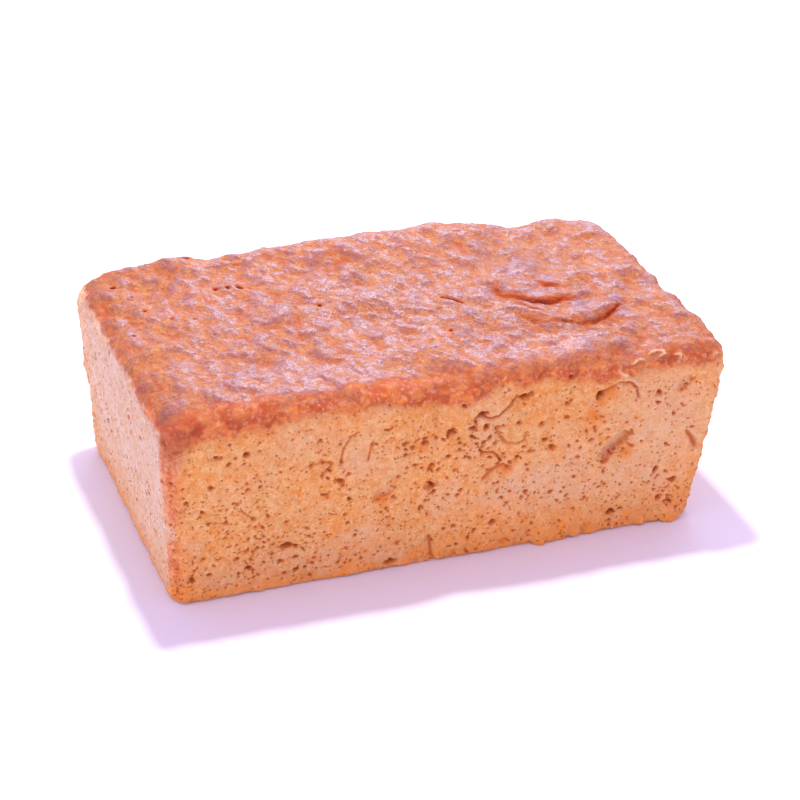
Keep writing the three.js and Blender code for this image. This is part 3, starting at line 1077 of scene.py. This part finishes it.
def rim_colour(shader):
    """Red brown to orange, as at the crust's edge, and painted darker where it faces up: painted
    shade that evens out the stronger light on the top.
    """
    upward = shader.spread(shader.mask("upward"), 0.1, 0.9)

    # A tone facing out, mixed towards its darker painted-shade copy where the rim faces up
    def rim_tone(name):
        return shader.mix(upward, tone(name), tone(name + " on top"))

    patches = shader.spread(shader.noise(5.0, 2, 0.5), 0.4, 0.62)
    colour = shader.mix(patches, rim_tone("dark rim"), rim_tone("light rim"))
    spots = shader.spread(shader.noise(2.4, 2, 0.5), 0.58, 0.68)
    colour = shader.mix(shader.times(spots, 0.6), colour, rim_tone("rim spot"))
    # Painted glints on the rim band, where the coat fades out
    painted_rim_glint_share = shader.spread(shader.skin_noise(1.5, 2, 0.55), 0.53, 0.64)
    colour = shader.mix(shader.times(painted_rim_glint_share, 0.75), colour, rim_tone("painted rim glint"))
    # Painted shade in the rim's hollows
    low = shader.spread(shader.mask("level"), 0.5, 0.15)
    return shader.lay(colour, [("rim hollows with painted shade", low, 0.7), ("dusky rim", shader.mask("dusky"), 0.9)])


def wrinkled_skin(shader):
    """Height of the crust's fine skin: small soft cells, bent and grained."""
    bend = shader.add("TexNoise", {"Vector": shader.place, "Scale": 1 / 4, "Detail": 2.0})
    shift = shader.scaled(bend.outputs["Color"], (5, 5, 5))
    bent = shader.add("VectorMath", {0: shader.skin_place, 1: shift}, operation="ADD")
    inputs = {"Vector": bent.outputs[0], "Scale": 1 / 3.6, "Smoothness": 0.6}
    cells = shader.add("TexVoronoi", inputs, feature="SMOOTH_F1").outputs["Distance"]
    # The gaps between the cells: the bump dips there, and the colour darkens there as painted shade
    hollows = shader.spread(cells, 0.35, 0.75)
    dips = shader.times(hollows, 0.3)
    fine = shader.spread(shader.mask("glitter"), 0.0, 1.0, 0.3, 1.1)
    grains = shader.times(shader.skin_noise(1.2, 1, 0.5), fine)
    grains = shader.calc("ADD", grains, shader.times(shader.skin_noise(2.2, 1, 0.5), 0.7))
    height = shader.calc("SUBTRACT", grains, dips)
    calm = shader.spread(shader.mask("rim"), 0.0, 1.0, 1.7, 0.9)
    height = shader.times(height, calm)
    return height, hollows


def skin_shine(shader):
    """Where the skin shines: in patches, and more so in the glossy zones and on its bumps."""
    glossy = shader.spread(shader.mask("sheen"), 0.0, 1.0, -0.1, 0.1)
    raised = shader.spread(shader.mask("level"), 0.1, 0.9, -0.12, 0.12)
    patches = shader.skin_noise(3.8, 3, 0.55)
    shiny = shader.calc("ADD", patches, shader.calc("ADD", glossy, raised))
    return shader.calc("MAXIMUM", shader.spread(shiny, 0.34, 0.66), shader.mask("gloss"))


def loaf_colour(shader, top_colour, pores):
    """The colours of the crust and the sides, with the rim, the foot, the pits and the folds."""
    colour = shader.mix(shader.mask("crust"), side_colour(shader, pores), top_colour)
    ragged = shader.noise(2.2, 3, 0.6)
    rim = shader.times(shader.mask("rim"), shader.spread(ragged, 0.3, 0.6, 0.75, 1.0))
    colour = shader.mix(rim, colour, rim_colour(shader))
    foot = shader.times(shader.mask("base"), shader.spread(ragged, 0.3, 0.65))
    pit, fold = shader.mask("pit"), shader.mask("fold")
    return shader.lay(colour, [
        ("foot", foot, 0.8),
        # Pits, pores and cracks: orange walls, and darker floors partly as painted shade
        ("pit wall", shader.spread(pit, 0.1, 0.5), 0.8),
        ("deep pits with painted shade", shader.spread(pit, 0.5, 1.0), 0.85),
        # Folds, pinholes and the tear: red brown walls, and darker floors partly as painted shade
        ("fold wall", shader.spread(fold, 0.0, 0.6), 1),
        ("deep folds with painted shade", shader.spread(fold, 0.4, 1.0), 1),
    ])


def skin_gloss(shader, shiny, stipple):
    """How glossy the skin is: not in the pits and folds, at the rim or on steep flanks."""
    sheen = shader.spread(shiny, 0.0, 1.0, 0.15, 1.0)
    gloss = shader.times(sheen, shader.spread(stipple, 0.0, 1.0, 1.0, 0.45))
    limits = [
        shader.mask("crust"),
        shader.calc("SUBTRACT", 1.0, shader.mask("pit")),
        shader.spread(shader.mask("fold"), 0.0, 0.35, 1.0, 0.0),
        shader.spread(shader.mask("rim"), 0.0, 0.6, 1.0, 0.0),
        shader.spread(shader.mask("flat"), 0.82, 0.95),
    ]
    for limit in limits:
        gloss = shader.times(gloss, limit)
    return gloss


def bread_material():
    """One material for the whole loaf, led by the masks on the mesh."""
    shader = Shader("bread_crust")
    crust = shader.mask("crust")
    pores = small_pores(shader)
    skin, hollows = wrinkled_skin(shader)
    shiny = skin_shine(shader)
    stipple = shader.spread(shader.skin_noise(0.8, 2, 0.6), 0.42, 0.6)
    colour = loaf_colour(shader, crust_colour(shader, shiny, stipple, hollows), pores)
    crust_roughness = shader.spread(shader.noise(4, 3), 0.35, 0.65, 0.7, 0.45)
    grain = shader.calc("SUBTRACT", shader.noise(0.9, 4, 0.7), pores)
    height = shader.blend(crust, grain, skin)
    bump = shader.add("Bump", {"Height": height, "Strength": 0.9, "Distance": 0.6 * MM})
    inputs = {
        "Base Color": colour,
        "Roughness": shader.blend(crust, SIDE_ROUGHNESS, crust_roughness),
        "Normal": bump.outputs["Normal"],
        "Coat Weight": skin_gloss(shader, shiny, stipple),
        "Coat Roughness": SKIN_ROUGHNESS,
        "Specular IOR Level": SPECULAR_LEVEL,
    }
    surface = shader.add("BsdfPrincipled", inputs)
    shader.add("OutputMaterial", {"Surface": surface.outputs[0]})
    return shader.material


def build_loaf():
    """The whole loaf as one piece over its solid."""
    loaf = Surface()
    mark_crust(loaf)
    mark_sheen(loaf)
    mark_glitter(loaf)
    mark_dusky(loaf)
    mark_base(loaf)
    mark_pale(loaf)
    raise_crust(loaf)
    raise_blisters(loaf)
    mark_level(loaf)
    raise_sides(loaf)
    cut_folds(loaf)
    cut_pinholes(loaf)
    cut_front(loaf)
    raise_flakes(loaf)
    cut_pores(loaf)
    mark_flat(loaf)
    piece = thinned(write_mesh(loaf))
    unfold(piece.data)
    piece.data.materials.clear()
    piece.data.materials.append(bread_material())
    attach(piece, "root")
    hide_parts("loaf")


# The lights: name, place, size, power, colour, and whether glossy skin mirrors them. The lamp's
# place and size follow from the shadow that the loaf throws in the photo
LIGHTS = [
    ("lamp_above", (-17, 137, 743), 80, 6.0, (1.0, 1.0, 1.0), False),
    ("box_left", (-1500, -300, 480), 900, 6.3, (0.7, 0.85, 1.0), True),
    ("box_behind", (1200, 1900, 1000), 2400, 21, (0.7, 0.82, 1.0), True),
    ("box_glint", (800, 1950, 1150), 700, 5.2, (0.7, 0.82, 1.0), True),
]
SURROUNDINGS_COLOUR = (0.84, 0.6, 0.93, 1)
SURROUNDINGS_STRENGTH = 1.1

# The floor's side in metres
FLOOR_SIZE = 16
FLOOR_COLOUR = (0.82, 0.89, 0.9, 1)
FLOOR_ROUGHNESS = 0.9
FLOOR_SPECULAR_LEVEL = 0.1


def build_floor():
    """A plain pale floor."""
    bpy.ops.mesh.primitive_plane_add(size=FLOOR_SIZE)
    floor = bpy.context.object
    floor.name = "floor"
    material = bpy.data.materials.new("pale_floor")
    material.use_nodes = True
    shader = material.node_tree.nodes["Principled BSDF"]
    shader.inputs["Base Color"].default_value = FLOOR_COLOUR
    shader.inputs["Roughness"].default_value = FLOOR_ROUGHNESS
    shader.inputs["Specular IOR Level"].default_value = FLOOR_SPECULAR_LEVEL
    floor.data.materials.append(material)


def put(name, data, place, turn):
    """A new object at a place in millimetres, turned by a quaternion."""
    made = bpy.data.objects.new(name, data)
    made.location = Vector(place) * MM
    made.rotation_mode = "QUATERNION"
    made.rotation_quaternion = turn
    bpy.context.scene.collection.objects.link(made)
    return made


def add_softbox(name, place, size, power, colour, mirrored):
    """A square lamp that faces the middle of the loaf, and is mirrored in glossy skin or not."""
    lamp = bpy.data.lights.new(name, "AREA")
    lamp.size = size * MM
    lamp.energy = power
    lamp.color = colour
    way = Vector((0, 0, HEIGHT / 2)) - Vector(place)
    put(name, lamp, place, way.to_track_quat("-Z", "Y")).visible_glossy = mirrored


def build_light():
    """A near lamp above and a little behind, bluish boxes at the left and behind, and a soft violet
    light all around."""
    for light in LIGHTS:
        add_softbox(*light)
    world = bpy.data.worlds.new("soft_surroundings")
    world.use_nodes = True
    background = world.node_tree.nodes["Background"]
    background.inputs["Color"].default_value = SURROUNDINGS_COLOUR
    background.inputs["Strength"].default_value = SURROUNDINGS_STRENGTH
    bpy.context.scene.world = world
    bpy.context.scene.view_settings.view_transform = "Standard"


# The photograph's camera: a long lens from the front left, above the loaf
CAMERA_AZIMUTH = -21.0
CAMERA_ELEVATION = 29.9
CAMERA_ROLL = 2.06
CAMERA_DISTANCE = 994.5
CAMERA_TARGET = (2.95, -1.72, 39.04)
CAMERA_LENS = 108
CAMERA_SENSOR = 36


def build_camera():
    """The camera looks at its target without shift, turned a little about its own axis."""
    a, e = math.radians(CAMERA_AZIMUTH), math.radians(CAMERA_ELEVATION)
    way = Vector((math.sin(a) * math.cos(e), -math.cos(a) * math.cos(e), math.sin(e)))
    lens = bpy.data.cameras.new("camera")
    lens.lens = CAMERA_LENS
    lens.sensor_width = CAMERA_SENSOR
    place = Vector(CAMERA_TARGET) + way * CAMERA_DISTANCE
    roll = Quaternion((0, 0, 1), math.radians(CAMERA_ROLL))
    turn = (-way).to_track_quat("-Z", "Y") @ roll
    bpy.context.scene.camera = put("camera", lens, place, turn)


build_loaf()
build_floor()
build_light()
build_camera()
